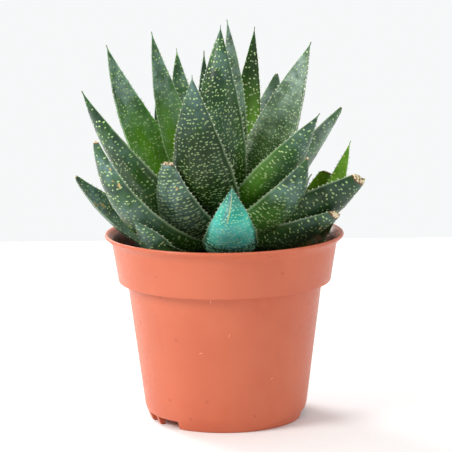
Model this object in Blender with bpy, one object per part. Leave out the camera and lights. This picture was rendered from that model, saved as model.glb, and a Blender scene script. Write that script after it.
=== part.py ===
# Potted aloe: a spotted rosette in a round plastic nursery pot.
# Lengths in this file are millimetres until the meshes are written, and angles are degrees.
# The origin is the middle of the pot's underside, +Z is up, and the front of the plant faces -Y.
# A leaf's azimuth is 0 at the front, +90 at the right, 180 at the back and -90 at the left.

import math
import random

import bmesh
import bpy
import numpy as np
from mathutils import Vector
from mathutils.bvhtree import BVHTree

MM = 0.001
GAP = 0.35

# Pot
POT_SIDES = 44
POT_HEIGHT = 94.0
LIP_RADIUS = 60.0
BAND_TOP_RADIUS = 56.4
BAND_FOOT_RADIUS = 53.4
BAND_FOOT_HEIGHT = 69.8
WALL_TOP_RADIUS = 49.0
WALL_FOOT_RADIUS = 41.0
WALL_FOOT_HEIGHT = 7.0
FOOT_RADIUS = 38.2
WALL = 1.3
REST_DISC_RADIUS = 21.0
FLOOR_RISE = 3.2
FOOT_RING_INNER_RADIUS = 36.2

# Drain notches in the foot: middle azimuth and half the opening, in degrees
NOTCH_HEIGHT = 4.3
NOTCH_INNER_RADIUS = 33.5
NOTCH_SPARE = 2.0
NOTCHES = ((-47.0, 10.5), (-65.5, 5.5), (86.0, 15.0), (196.0, 15.0))

# Soil
SOIL_HEIGHT = 83.2
SOIL_RINGS = 7
SOIL_BUMP = 0.9
SOIL_SEED = 7
PIT_STATIONS = 7
PIT_GAP = 0.8

# Stem of the rosette
CROWN_X = 2.0
CROWN_Y = 2.0
STEM_RADIUS = 6.0
STEM_FOOT_HEIGHT = 62.0
STEM_SHOULDER_HEIGHT = 105.3
STEM_TOP_HEIGHT = 107.8
STEM_SIDES = 12

# Leaf cross-section, as shares of the half width, from one margin round the upper face and back under
SECTION = (1.0, 0.5, -0.5, -1.0, -0.82, -0.42, 0.0, 0.42, 0.82)
MARGINS = (0, 3)
UPPER = (1, 2)
KEEL_ROUNDNESS = 2.2
KEEL_FULLNESS = 0.75

# Leaf proportions. Depths and narrowings are shares of the width, places are shares of the length.
WIDEST_FROM_TIP = 0.65
TIP_TAPER = 1.6
FOOT_TAPER = 0.10
NECK_WIDTH = 0.8
NECK_LENGTH = 0.3
THICKNESS = 0.30
THINNING_TO_TIP = 0.25
THICKNESS_TAPER = 0.8
FOOT_THICKNESS = 0.45
FOOT_LENGTH = 0.4
CHANNEL_DEPTH = 0.085
FACE_LIFT = 0.3
TOOTH = 0.7
TIP_HALF_WIDTH = 0.45
LEAST_THICKNESS = 0.6
FOOT_RADIUS_FROM_AXIS = 6.7
TRACK_STEPS = 120
LEAST_TIP_SLOPE = -60.0
MOST_TIP_SLOPE = 150.0
HALVINGS = 30


def leaf(name, azimuth, tip, base, rise, turn, width, roll=0.0, dried=0.0, stations=17,
         x=CROWN_X, y=CROWN_Y, radius=FOOT_RADIUS_FROM_AXIS, colour="green"):
    """One leaf. tip is its reach from the plant's axis and its height, base the height of its foot.
    rise is the slope at the foot, and turn how early the leaf leaves that slope: a low value turns at once.
    roll tips its faces about its midline, and dried is the share of its full length that has dried off."""
    return dict(name=name, azimuth=azimuth, tip=tip, base=base, rise=rise, turn=turn, width=width, roll=roll,
                dried=dried, stations=stations, x=x, y=y, radius=radius, colour=colour)


# The leaves from the heart of the rosette outwards. A leaf yields to those before it where their feet meet.
LEAVES = [
    leaf("leaf_heart_1", 40, (8, 144), 108.2, 70, 1.0, 12, stations=9, radius=2),
    leaf("leaf_heart_2", -140, (9, 148), 108.2, 70, 1.0, 11, stations=9, radius=2.5),
    leaf("leaf_inner_back", -135, (6.5, 199.5), 106, 95, 2.0, 21, x=7, y=3, radius=6),
    leaf("leaf_inner_front", -15, (10.5, 198), 105, 75, 1.5, 26, roll=5),
    leaf("leaf_inner_right", 155, (34.5, 194), 101, 65, 0.5, 18, roll=5, colour="bright"),
    leaf("leaf_inner_left", -145, (44.5, 183), 97, 30, 0.5, 22, roll=-15, colour="bright"),
    leaf("leaf_inner_thin", -140, (17.5, 183.5), 105, 65, 0.5, 15, stations=13, radius=7),
    leaf("leaf_tall_left", -115, (41.5, 193), 101, 50, 0.5, 24, roll=-20, colour="bright"),
    leaf("leaf_tall_right", 105, (44, 187.5), 105, 65, 0.6, 33, roll=25),
    leaf("leaf_back_short", 145, (45, 169.5), 98, 50, 0.75, 27, roll=10, dried=0.03),
    leaf("leaf_wide_left", -100, (61, 187), 98, 30, 0.5, 30, roll=-30, colour="bright"),
    leaf("leaf_broad_front", -25, (39.5, 176), 100, 25, 0.5, 31, roll=10),
    leaf("leaf_mid_left", -70, (75, 168), 91, 20, 0.5, 27, roll=25),
    leaf("leaf_mid_right", 50, (58, 157), 101, 45, 0.4, 27, roll=-20),
    leaf("leaf_mid_right_back", 110, (62, 153.5), 94, 50, 0.6, 30, roll=-40, dried=0.04),
    leaf("leaf_back_sliver", -130, (47.5, 158.5), 94, 5, 0.6, 15, stations=13),
    leaf("leaf_back_1", 170, (49, 163), 96, 30, 0.75, 22, roll=-5, stations=13),
    leaf("leaf_back_2", -150, (67, 140.5), 93, 5, 0.5, 22, stations=13),
    leaf("leaf_back_3", 150, (67, 147), 94, 25, 0.75, 22, stations=13),
    leaf("leaf_broad_right", 45, (54.5, 136), 92, 25, 1.0, 30, roll=-15),
    leaf("leaf_low_front_left", -45, (41, 133.5), 90, 15, 1.0, 29, roll=15, dried=0.08, colour="pale"),
    leaf("leaf_outer_left", -55, (77, 146), 88, -5, 0.75, 26, roll=15, dried=0.05),
    leaf("leaf_teal", 2, (54.5, 125), 85, 0, 0.5, 27, colour="teal"),
    leaf("leaf_low_right", 65, (72, 125.5), 88, 20, 0.6, 31, roll=-40, dried=0.1),
    leaf("leaf_back_4", -130, (67.5, 127), 91, 0, 0.5, 22, roll=5, stations=13),
    leaf("leaf_back_5", 130, (57, 117), 88, 5, 0.5, 21, stations=13),
    leaf("leaf_low_right_front", 60, (62, 108), 86, 15, 1.0, 24, roll=-30, dried=0.1),
    leaf("leaf_low_left", -85, (76, 123.5), 83, 15, 1.25, 27, roll=-30, dried=0.04),
    leaf("leaf_back_6", -175, (61, 104.5), 84, 15, 0.75, 21, stations=13),
    leaf("leaf_back_7", 165, (52, 96.5), 82, 0, 0.75, 20, roll=-5, stations=13),
    leaf("leaf_back_8", -115, (58, 97), 79, 0, 0.5, 20, stations=13),
    leaf("leaf_small_left", -45, (28, 107.5), 79, 65, 1.0, 19, roll=15, stations=13, x=-24, y=-24, radius=4),
    leaf("leaf_small_front", -35, (55, 96.5), 81, 5, 0.75, 15, roll=-5, stations=13),
    leaf("pup_leaf_1", 110, (25, 137), 81, 65, 1.25, 13, roll=40, stations=13, x=41, y=8, radius=2,
         colour="lime"),
    leaf("pup_leaf_2", 100, (20.5, 120.5), 82, 60, 0.5, 22, roll=40, dried=0.25, stations=11, x=34, y=15,
         radius=2, colour="olive"),
    leaf("pup_leaf_3", 155, (12, 100.5), 82, 45, 0.75, 8, stations=9, x=39, y=22, radius=2, colour="lime"),
]

COLOURS = {
    "green": (0.045, 0.115, 0.060, 1.0),
    "bright": (0.075, 0.175, 0.045, 1.0),
    "pale": (0.110, 0.190, 0.130, 1.0),
    "teal": (0.045, 0.340, 0.330, 1.0),
    "lime": (0.130, 0.330, 0.025, 1.0),
    "olive": (0.105, 0.130, 0.018, 1.0),
}


def clear_scene():
    for item in list(bpy.data.objects):
        bpy.data.objects.remove(item, do_unlink=True)


def material(name, colour, roughness):
    made = bpy.data.materials.new(name)
    made.use_nodes = True
    shader = made.node_tree.nodes["Principled BSDF"]
    shader.inputs["Base Color"].default_value = colour
    shader.inputs["Roughness"].default_value = roughness
    shader.inputs["Metallic"].default_value = 0.0
    made.diffuse_color = colour
    return made


def mesh_object(name, points, faces):
    mesh = bpy.data.meshes.new(name)
    mesh.from_pydata([Vector(point) * MM for point in points], [], faces)
    mesh.update()
    made = bpy.data.objects.new(name, mesh)
    bpy.context.scene.collection.objects.link(made)
    return made


def ring_stack(rings, start=None, end=None):
    """Points and faces of a closed body through rings with the same number of points each.
    start and end are the points that close its two ends."""
    sides = len(rings[0])
    points = [point for ring in rings for point in ring]
    faces = []
    for row in range(len(rings) - 1):
        for side in range(sides):
            after = (side + 1) % sides
            a = row * sides + side
            b = row * sides + after
            faces.append((a, b, b + sides))
            faces.append((a, b + sides, a + sides))
    start = start or sum((Vector(p) for p in rings[0]), Vector()) / sides
    end = end or sum((Vector(p) for p in rings[-1]), Vector()) / sides
    points += [start, end]
    last = (len(rings) - 1) * sides
    for side in range(sides):
        after = (side + 1) % sides
        faces.append((len(points) - 2, after, side))
        faces.append((len(points) - 1, last + side, last + after))
    return points, faces


def turned(profile, sides, x=0.0, y=0.0):
    """Closed body turned about a vertical axis. profile runs from the axis underneath, up the outside,
    and back to the axis on top."""
    rings = []
    for radius, height in profile[1:-1]:
        ring = []
        for side in range(sides):
            angle = 2 * math.pi * side / sides
            ring.append((x + radius * math.cos(angle), y + radius * math.sin(angle), height))
        rings.append(ring)
    return ring_stack(rings, Vector((x, y, profile[0][1])), Vector((x, y, profile[-1][1])))


def difference(body, cutters):
    """Cuts the cutters from the body one after another, applies each cut, and removes its cutter."""
    for cutter in cutters:
        cutter.hide_render = True
        cutter.display_type = "WIRE"
        cut = body.modifiers.new("cut", "BOOLEAN")
        cut.operation = "DIFFERENCE"
        cut.object = cutter
        cut.solver = "EXACT"
        graph = bpy.context.evaluated_depsgraph_get()
        result = bpy.data.meshes.new_from_object(body.evaluated_get(graph))
        body.modifiers.clear()
        body.data = result
        bpy.data.objects.remove(cutter, do_unlink=True)


def keep_piece_at(body, point):
    """Keeps the one connected piece of the body that reaches nearest to the point."""
    work = bmesh.new()
    work.from_mesh(body.data)
    target = Vector(point) * MM
    seed = min(work.verts, key=lambda vert: (vert.co - target).length)
    kept = {seed}
    edge_of_search = [seed]
    while edge_of_search:
        vert = edge_of_search.pop()
        for edge in vert.link_edges:
            other = edge.other_vert(vert)
            if other not in kept:
                kept.add(other)
                edge_of_search.append(other)
    loose = [vert for vert in work.verts if vert not in kept]
    bmesh.ops.delete(work, geom=loose, context="VERTS")
    on_an_edge = [vert for vert in work.verts if len(vert.link_edges) == 2]
    bmesh.ops.dissolve_verts(work, verts=on_an_edge)
    bmesh.ops.remove_doubles(work, verts=work.verts, dist=0.001 * MM)
    bmesh.ops.triangulate(work, faces=work.faces)
    work.to_mesh(body.data)
    work.free()


def finish(body, surface, sharp_angle):
    body.data.materials.clear()
    body.data.materials.append(surface)
    body.data.shade_smooth()
    body.data.set_sharp_from_angle(angle=math.radians(sharp_angle))


def width_share(from_tip):
    """Width of a leaf as a share of its widest, at a share of its full length from the tip."""
    to_tip = 1 - np.clip(1 - from_tip / WIDEST_FROM_TIP, 0, 1) ** TIP_TAPER
    to_foot = 1 - FOOT_TAPER * np.clip((from_tip - WIDEST_FROM_TIP) / (1 - WIDEST_FROM_TIP), 0, 1) ** 2
    return min(to_tip, to_foot)


def eased(share):
    """0 to 1 with a soft start and end."""
    share = np.clip(share, 0, 1)
    return share * share * (3 - 2 * share)


def climb(plan, tip_rise):
    """Run and lift along a leaf of length 1 whose slope goes from its foot's to tip_rise, and that slope."""
    share = np.linspace(0, 1, TRACK_STEPS + 1)
    slope = np.radians(plan["rise"] + (tip_rise - plan["rise"]) * share ** plan["turn"])
    run = np.cos(slope)
    lift = np.sin(slope)
    run = np.concatenate([[0], np.cumsum(run[1:] + run[:-1])]) / 2 / TRACK_STEPS
    lift = np.concatenate([[0], np.cumsum(lift[1:] + lift[:-1])]) / 2 / TRACK_STEPS
    return run, lift, slope


def midline(plan):
    """Distance from the axis, height and slope along a leaf, from its foot to its tip. The slope at the
    tip is the one that brings a leaf with this foot to where its tip is."""
    reach = plan["tip"][0] - plan["radius"]
    rise = plan["tip"][1] - plan["base"]
    low = LEAST_TIP_SLOPE
    high = MOST_TIP_SLOPE
    for _ in range(HALVINGS):
        tip_rise = (low + high) / 2
        run, lift, slope = climb(plan, tip_rise)
        if math.atan2(lift[-1], run[-1]) < math.atan2(rise, reach):
            low = tip_rise
        else:
            high = tip_rise
    length = math.hypot(reach, rise) / math.hypot(run[-1], lift[-1])
    return plan["radius"] + run * length, plan["base"] + lift * length, slope


def leaf_body(plan, grow=0.0):
    """Points and faces of a leaf. grow swells it evenly, to clear room for it in its neighbours."""
    azimuth = math.radians(plan["azimuth"])
    roll = math.radians(plan["roll"])
    out = np.array((math.sin(azimuth), -math.cos(azimuth), 0.0))
    level = np.array((math.cos(azimuth), math.sin(azimuth), 0.0))
    up = np.array((0.0, 0.0, 1.0))
    distance, height, slope = midline(plan)
    rings = []
    for station in range(plan["stations"]):
        share = station / (plan["stations"] - 1)
        place = round(share * TRACK_STEPS)
        along = out * math.cos(slope[place]) + up * math.sin(slope[place])
        point = np.array((plan["x"], plan["y"], 0.0)) + out * distance[place] + up * height[place]
        upward = np.cross(along, level)
        across = level * math.cos(roll) + upward * math.sin(roll)
        upper = upward * math.cos(roll) - level * math.sin(roll)
        share *= 1 - plan["dried"]
        fullness = width_share(1 - share)
        neck = NECK_WIDTH + (1 - NECK_WIDTH) * eased(share / NECK_LENGTH)
        foot = FOOT_THICKNESS + (1 - FOOT_THICKNESS) * eased(share / FOOT_LENGTH)
        half = max(plan["width"] / 2 * fullness * neck, TIP_HALF_WIDTH) + grow
        depth = plan["width"] * THICKNESS * (1 - THINNING_TO_TIP * share) * fullness ** THICKNESS_TAPER
        depth = max(depth * foot, LEAST_THICKNESS) + grow
        channel = CHANNEL_DEPTH * plan["width"] * fullness * foot
        tooth = TOOTH * min(1.0, fullness * 3) if grow or station % 2 else 0.0
        if station == 0:
            point = point - along * grow
        if station == plan["stations"] - 1:
            point = point + along * grow * 1.5
        ring = []
        for number, x in enumerate(SECTION):
            if number in MARGINS:
                side = x * (half + tooth + grow)
                lift = grow / 2
            elif number in UPPER:
                side = x * half
                lift = grow + FACE_LIFT - channel * (1 - x * x)
            else:
                side = x * half
                lift = -depth * (1 - abs(x) ** KEEL_ROUNDNESS) ** KEEL_FULLNESS
            ring.append(Vector(point + across * side + upper * lift))
        rings.append(ring)
    return ring_stack(rings)


def build_pot():
    band = BAND_TOP_RADIUS
    outside = [
        (0, 0.0),
        (REST_DISC_RADIUS, 0.0),
        (REST_DISC_RADIUS + 1.2, FLOOR_RISE),
        (FOOT_RING_INNER_RADIUS - 0.3, FLOOR_RISE),
        (FOOT_RING_INNER_RADIUS, 0.0),
        (FOOT_RADIUS, 0.0),
        (FOOT_RADIUS + 0.6, 0.7),
        (FOOT_RADIUS + 2.2, WALL_FOOT_HEIGHT - 2.0),
        (WALL_FOOT_RADIUS, WALL_FOOT_HEIGHT),
        (WALL_TOP_RADIUS, BAND_FOOT_HEIGHT),
        (BAND_FOOT_RADIUS, BAND_FOOT_HEIGHT + 0.1),
        (band - 0.1, POT_HEIGHT - 5.6),
        (band + 0.9, POT_HEIGHT - 3.8),
        (LIP_RADIUS - 0.7, POT_HEIGHT - 2.1),
        (LIP_RADIUS, POT_HEIGHT - 1.2),
        (LIP_RADIUS - 0.5, POT_HEIGHT),
        (LIP_RADIUS - 2.2, POT_HEIGHT - 0.6),
        (band - WALL + 0.6, POT_HEIGHT - 3.3),
        (band - WALL - 0.1, POT_HEIGHT - 5.4),
        (BAND_FOOT_RADIUS - WALL, BAND_FOOT_HEIGHT + WALL + 0.3),
        (WALL_TOP_RADIUS - WALL, BAND_FOOT_HEIGHT + WALL),
        (WALL_FOOT_RADIUS - WALL, WALL_FOOT_HEIGHT + 0.6),
        (FOOT_RING_INNER_RADIUS - 0.4, FLOOR_RISE + WALL),
        (REST_DISC_RADIUS + 0.4, FLOOR_RISE + WALL),
        (REST_DISC_RADIUS - 0.9, WALL),
        (0, WALL),
    ]
    pot = mesh_object("pot", *turned(outside, POT_SIDES))
    cutters = []
    for middle, half in NOTCHES:
        rings = []
        for degrees in (middle - half, middle - half / 3, middle + half / 3, middle + half):
            angle = math.radians(degrees)
            out = Vector((math.sin(angle), -math.cos(angle), 0))
            low = Vector((0, 0, -NOTCH_SPARE))
            high = Vector((0, 0, NOTCH_HEIGHT))
            inner = out * NOTCH_INNER_RADIUS
            outer = out * (WALL_FOOT_RADIUS + NOTCH_SPARE)
            rings.append([inner + low, inner + high, outer + high, outer + low])
        cutters.append(mesh_object("notch", *ring_stack(rings)))
    difference(pot, cutters)
    keep_piece_at(pot, (LIP_RADIUS, 0, POT_HEIGHT))
    finish(pot, material("pot_plastic", (0.62, 0.165, 0.085, 1.0), 0.38), 32)


def soil_profile_side():
    gap = GAP + 0.05
    return [
        (REST_DISC_RADIUS - 0.9 - gap, WALL + gap),
        (REST_DISC_RADIUS + 0.4, FLOOR_RISE + WALL + gap),
        (FOOT_RING_INNER_RADIUS - 0.6, FLOOR_RISE + WALL + gap),
        (WALL_FOOT_RADIUS - WALL - gap, WALL_FOOT_HEIGHT + 0.9),
        (WALL_TOP_RADIUS - WALL - gap, BAND_FOOT_HEIGHT + WALL + gap),
        (BAND_FOOT_RADIUS - WALL - gap - 0.3, BAND_FOOT_HEIGHT + WALL + gap + 0.3),
    ]


def soil_body():
    """The soil fills the pot and has an uneven top, as soil that has been watered has."""
    draw = random.Random(SOIL_SEED)
    rings = []
    for radius, height in soil_profile_side():
        rings.append([(radius, 2 * math.pi * side / POT_SIDES, height) for side in range(POT_SIDES)])
    climb = (SOIL_HEIGHT - BAND_FOOT_HEIGHT) / (POT_HEIGHT - 5.4 - BAND_FOOT_HEIGHT)
    edge = BAND_FOOT_RADIUS - WALL - GAP - 0.2
    edge = edge + (BAND_TOP_RADIUS - BAND_FOOT_RADIUS) * climb - 0.2
    for ring in range(SOIL_RINGS):
        radius = edge * (1 - ring / SOIL_RINGS) ** 0.9
        row = []
        for side in range(POT_SIDES):
            bump = 0.0 if ring == 0 else draw.uniform(-SOIL_BUMP, SOIL_BUMP)
            stray = 0.0 if ring == 0 else draw.uniform(-0.3, 0.3) * radius / SOIL_RINGS
            row.append((radius + stray, 2 * math.pi * side / POT_SIDES, SOIL_HEIGHT + bump))
        rings.append(row)
    rings = [
        [(radius * math.cos(angle), radius * math.sin(angle), height) for radius, angle, height in ring]
        for ring in rings
    ]
    floor = Vector((0, 0, WALL + GAP + 0.05))
    return ring_stack(rings, floor, Vector((0, 0, SOIL_HEIGHT)))


def stem_profile(grow=0.0):
    radius = STEM_RADIUS + grow
    return [
        (0, STEM_FOOT_HEIGHT - grow),
        (radius * 0.6, STEM_FOOT_HEIGHT - grow),
        (radius, STEM_FOOT_HEIGHT + 5.0),
        (radius, STEM_SHOULDER_HEIGHT),
        (radius * 0.62, STEM_TOP_HEIGHT - 1.5 + grow),
        (radius * 0.3, STEM_TOP_HEIGHT + grow),
        (0, STEM_TOP_HEIGHT + grow),
    ]


def stem_body(grow=0.0):
    return turned(stem_profile(grow), STEM_SIDES, CROWN_X, CROWN_Y)


def meets(first, second):
    """Whether the surfaces of two bodies, given as points and faces, run into each other."""
    tree = BVHTree.FromPolygons(*first)
    return bool(tree.overlap(BVHTree.FromPolygons(*second)))


def build_soil():
    """Each foot that reaches into the soil, and the stem, stands in a plain hole."""
    points, faces = soil_body()
    soil = mesh_object("soil", points, faces)
    pits = [leaf_body(dict(plan, stations=PIT_STATIONS), PIT_GAP) for plan in LEAVES]
    pits = [pit for pit in pits + [stem_body(GAP)] if meets(pit, (points, faces))]
    difference(soil, [mesh_object("pit", *pit) for pit in pits])
    keep_piece_at(soil, (0, 0, WALL))
    finish(soil, material("soil_crumb", (0.035, 0.022, 0.014, 1.0), 0.95), 60)


def build_plant():
    stem = mesh_object("stem", *stem_body())
    finish(stem, material("stem_flesh", (0.10, 0.12, 0.03, 1.0), 0.55), 40)
    rooms = [leaf_body(plan, GAP) for plan in LEAVES]
    stem_room = stem_body(GAP)
    for number, plan in enumerate(LEAVES):
        points, faces = leaf_body(plan)
        body = mesh_object(plan["name"], points, faces)
        near = [room for room in rooms[:number] + [stem_room] if meets(room, (points, faces))]
        difference(body, [mesh_object("room", *room) for room in near])
        keep_piece_at(body, points[-1])
        finish(body, material(plan["name"] + "_skin", COLOURS[plan["colour"]], 0.42), 50)


clear_scene()
build_pot()
build_soil()
build_plant()
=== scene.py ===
# Potted aloe: a spotted rosette and its offset, in soil, in a round plastic nursery pot.
# Lengths in the dictionaries are millimetres and angles are degrees.
# Azimuth 0 faces the camera and +90 is the right.
import math
import random

import bmesh
import bpy
import numpy as np
from mathutils import Matrix, Vector
from mathutils.bvhtree import BVHTree


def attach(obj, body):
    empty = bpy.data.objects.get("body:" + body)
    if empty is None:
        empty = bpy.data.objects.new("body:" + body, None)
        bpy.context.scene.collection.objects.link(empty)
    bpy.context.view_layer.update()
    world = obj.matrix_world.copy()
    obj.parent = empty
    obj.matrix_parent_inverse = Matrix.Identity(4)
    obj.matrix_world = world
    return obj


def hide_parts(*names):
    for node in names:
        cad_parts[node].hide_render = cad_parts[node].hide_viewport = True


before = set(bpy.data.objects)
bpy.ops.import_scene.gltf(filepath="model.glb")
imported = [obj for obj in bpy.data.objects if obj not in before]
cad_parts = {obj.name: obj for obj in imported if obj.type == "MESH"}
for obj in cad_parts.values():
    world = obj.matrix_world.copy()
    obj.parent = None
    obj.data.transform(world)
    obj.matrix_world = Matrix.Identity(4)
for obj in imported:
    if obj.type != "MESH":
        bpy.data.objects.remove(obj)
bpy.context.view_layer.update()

mm = 0.001


def tone(red, green, blue):
    # a screen colour from 0 to 255, as the shader wants it
    def linear(value):
        value = value / 255
        return value / 12.92 if value <= 0.04045 else ((value + 0.055) / 1.055) ** 2.4

    return (linear(red), linear(green), linear(blue), 1.0)


def dimmed(colour, share):
    return tuple(value * share for value in colour[:3]) + (1.0,)


def eased(share):
    share = np.clip(share, 0, 1)
    return share * share * (3 - 2 * share)


def unit(vectors):
    return vectors / np.maximum(np.linalg.norm(vectors, axis=-1, keepdims=True), 1e-9)


def linked(name, data):
    made = bpy.data.objects.new(name, data)
    bpy.context.scene.collection.objects.link(made)
    return made


camera = {"distance": 1022.0, "height": 270.5, "pitch": 9.65, "yaw": -0.05, "roll": -0.6, "lens": 164.55,
          "clipEnd": 20}
lights = {
    # the studio is brightest behind the plant
    "back": (0.925, 0.94, 0.945, 1), "front": (0.52, 0.53, 0.54, 1), "fade": (-0.5, 0.7), "aimHeight": 95,
    "key": {"at": (-680, -420, 640), "size": 420, "power": 7.0, "colour": (1.0, 0.98, 0.95)},
    "fill": {"at": (640, -700, 420), "size": 700, "power": 2.2, "colour": (0.94, 0.97, 1.0)},
    "rim": {"at": (-420, 560, 520), "size": 420, "power": 6.0, "colour": (1.0, 1.0, 1.0)},
}


def setCamera():
    data = bpy.data.cameras.new("camera")
    data.lens = camera["lens"]
    data.clip_end = camera["clipEnd"]
    made = linked("camera", data)
    turn = Matrix.Rotation(math.radians(camera["yaw"]), 4, "Z")
    tilt = Matrix.Rotation(math.radians(90 - camera["pitch"]), 4, "X")
    roll = Matrix.Rotation(math.radians(camera["roll"]), 4, "Z")
    place = Matrix.Translation((0, -camera["distance"] * mm, camera["height"] * mm))
    made.matrix_world = place @ turn @ tilt @ roll
    bpy.context.scene.camera = made


def setLights():
    world = bpy.data.worlds.new("studio")
    world.use_nodes = True
    n = Nodes(world.node_tree, world.node_tree.nodes["Background"], "Generated")
    fade = n.spread(n.axes(n.place)["Y"], *lights["fade"], shape="LINEAR")
    n.feed("Color", n.mix(fade, lights["front"], lights["back"]))
    bpy.context.scene.world = world
    for name in ("key", "fill", "rim"):
        plan = lights[name]
        data = bpy.data.lights.new(name, "AREA")
        data.shape = "DISK"
        data.size = plan["size"] * mm
        data.energy = plan["power"]
        data.color = plan["colour"]
        made = linked(name, data)
        made.location = Vector(plan["at"]) * mm
        aim = Vector((0, 0, lights["aimHeight"] * mm)) - made.location
        made.rotation_euler = aim.to_track_quat("-Z", "Y").to_euler()
    bpy.context.scene.view_settings.view_transform = "Standard"


# Materials

class Nodes:
    # short ways to add the nodes that the shaders here use, and to feed a shader's sockets
    def __init__(self, tree, shader, place="Object"):
        self.tree = tree
        self.shader = shader
        self.place = self.add("TexCoord").outputs[place]

    def add(self, kind):
        return self.tree.nodes.new("ShaderNode" + kind)

    def link(self, source, socket):
        self.tree.links.new(source, socket)

    def feed(self, socket, source):
        self.link(source, self.shader.inputs[socket])

    def attribute(self, name, output="Fac"):
        node = self.add("Attribute")
        node.attribute_name = name
        return node.outputs[output]

    def axes(self, source):
        node = self.add("SeparateXYZ")
        self.link(source, node.inputs[0])
        return node.outputs

    def noise(self, scale, detail, rough=0.55, place=None, stretch=None):
        node = self.add("TexNoise")
        for socket, value in (("Scale", scale), ("Detail", detail), ("Roughness", rough)):
            node.inputs[socket].default_value = value
        source = place or self.place
        if stretch:
            mapping = self.add("Mapping")
            mapping.inputs["Scale"].default_value = stretch
            self.link(source, mapping.inputs["Vector"])
            source = mapping.outputs["Vector"]
        self.link(source, node.inputs["Vector"])
        return node.outputs["Fac"]

    def cells(self, scale):
        node = self.add("TexVoronoi")
        node.inputs["Scale"].default_value = scale
        self.link(self.place, node.inputs["Vector"])
        return node.outputs["Distance"]

    def spread(self, value, low, high, outLow=0.0, outHigh=1.0, shape="SMOOTHSTEP"):
        # draws the values from low to high out over outLow to outHigh
        node = self.add("MapRange")
        node.interpolation_type = shape
        for socket, number in zip(("From Min", "From Max", "To Min", "To Max"), (low, high, outLow, outHigh)):
            node.inputs[socket].default_value = number
        self.link(value, node.inputs["Value"])
        return node.outputs["Result"]

    def grain(self, scale, detail, low, high, outLow=0.0, outHigh=1.0):
        return self.spread(self.noise(scale, detail), low, high, outLow, outHigh)

    def sums(self, kind, first, second=0.0, third=None):
        node = self.add("Math")
        node.operation = kind
        node.use_clamp = kind == "MULTIPLY"
        for number, value in enumerate((first, second, third)):
            if isinstance(value, (int, float)):
                node.inputs[number].default_value = value
            elif value is not None:
                self.link(value, node.inputs[number])
        return node.outputs["Value"]

    def mix(self, share, first, second):
        node = self.add("Mix")
        node.data_type = "RGBA"
        for number, value in zip((0, 6, 7), (share, first, second)):  # the sockets of a colour mix
            if isinstance(value, (int, float, tuple)):
                node.inputs[number].default_value = value
            else:
                self.link(value, node.inputs[number])
        return node.outputs[2]

    def bump(self, height, depth, before=None):
        node = self.add("Bump")
        node.inputs["Distance"].default_value = depth * mm
        self.link(height, node.inputs["Height"])
        if before:
            self.link(before, node.inputs["Normal"])
        return node.outputs["Normal"]

    def polish(self, scale, low, high):
        # roughness that wanders between low and high
        self.feed("Roughness", self.grain(scale, 2, 0.3, 0.7, low, high))


def newMaterial(name, roughness, **fixed):
    made = bpy.data.materials.new(name)
    made.use_nodes = True
    shader = made.node_tree.nodes["Principled BSDF"]
    shader.inputs["Roughness"].default_value = roughness
    for socket, value in fixed.items():
        shader.inputs[socket].default_value = value
    return made, Nodes(made.node_tree, shader)


def dryLook(name, roughness, first, second, pattern=(800, 3, 0.35, 0.7), polish=(1500, 0.45, 0.7),
            bumps=(1800, 2, 0.06)):
    # an uneven dry surface of two colours. bumps are their scale, detail and depth
    made, n = newMaterial(name, roughness)
    n.feed("Base Color", n.mix(n.grain(*pattern), tone(*first), tone(*second)))
    n.polish(*polish)
    scale, detail, depth = bumps
    n.feed("Normal", n.bump(n.noise(scale, detail), depth))
    return made


def surfaced(piece, material, sharpAngle=None):
    piece.data.materials.clear()
    piece.data.materials.append(material)
    piece.data.shade_smooth()
    if sharpAngle:
        piece.data.set_sharp_from_angle(angle=math.radians(sharpAngle))


skins = {  # deep and mid flesh, wax bloom with painted sheen, painted glow of light through the flesh, all as screen colours
    "green": {"deep": (16, 44, 5), "mid": (44, 86, 22), "bloom": (98, 128, 122), "lit": (104, 164, 4)},
    "bright": {"deep": (20, 56, 5), "mid": (50, 100, 14), "bloom": (134, 162, 148), "lit": (134, 206, 2)},
    "pale": {"deep": (20, 46, 12), "mid": (56, 92, 44), "bloom": (116, 144, 142), "lit": (90, 128, 16)},
    # the pale bloom colour of this skin is partly a painted sheen
    "waxySheen": {"deep": (22, 50, 12), "mid": (58, 94, 40), "bloom": (150, 174, 162), "lit": (96, 146, 8)},
    # the lit colour of the blue-green leaf is a painted shade for its margins and foot
    "teal": {"deep": (48, 190, 162), "mid": (92, 224, 196), "bloom": (134, 226, 226), "lit": (20, 62, 10)},
    "lime": {"deep": (64, 124, 6), "mid": (104, 168, 14), "bloom": (140, 184, 60), "lit": (132, 196, 12)},
    "olive": {"deep": (78, 116, 6), "mid": (108, 156, 14), "bloom": (124, 140, 50), "lit": (128, 150, 10)},
}
skinFinish = {
    "margin": (180, 202, 158), "marginShare": 0.32, "cream": (222, 206, 170), "fleck": (112, 80, 46),
    "brown": (98, 66, 34), "shadow": (10, 34, 0), "fibre": (46, 3.2, 1),
    "roughness": 0.4, "specular": 0.24, "coat": 0.05, "coatRoughness": 0.24, "rough": (0.29, 0.5),
    "dullSpecular": 0.14, "dullRough": (0.52, 0.7),  # of the bright leaves, which show less sky
    "through": 0.14, "throughScale": 0.003, "throughRadius": (0.6, 1.0, 0.3),
}
markColours = {
    "green": (186, 214, 140), "bright": (204, 232, 150), "pale": (184, 208, 146), "waxySheen": (190, 216, 150),
    "teal": (186, 250, 214), "lime": (196, 226, 100), "olive": (150, 166, 70),
}
markFinish = {"dim": 0.5, "tealDim": 0.75, "deep": 0.28, "deepShare": 0.8}
keelPlan = {"slant": 0.87, "from": 0.64, "to": 0.74, "aside": 0.17,
            "cream": (214, 212, 138), "grey": (116, 138, 156)}


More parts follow.
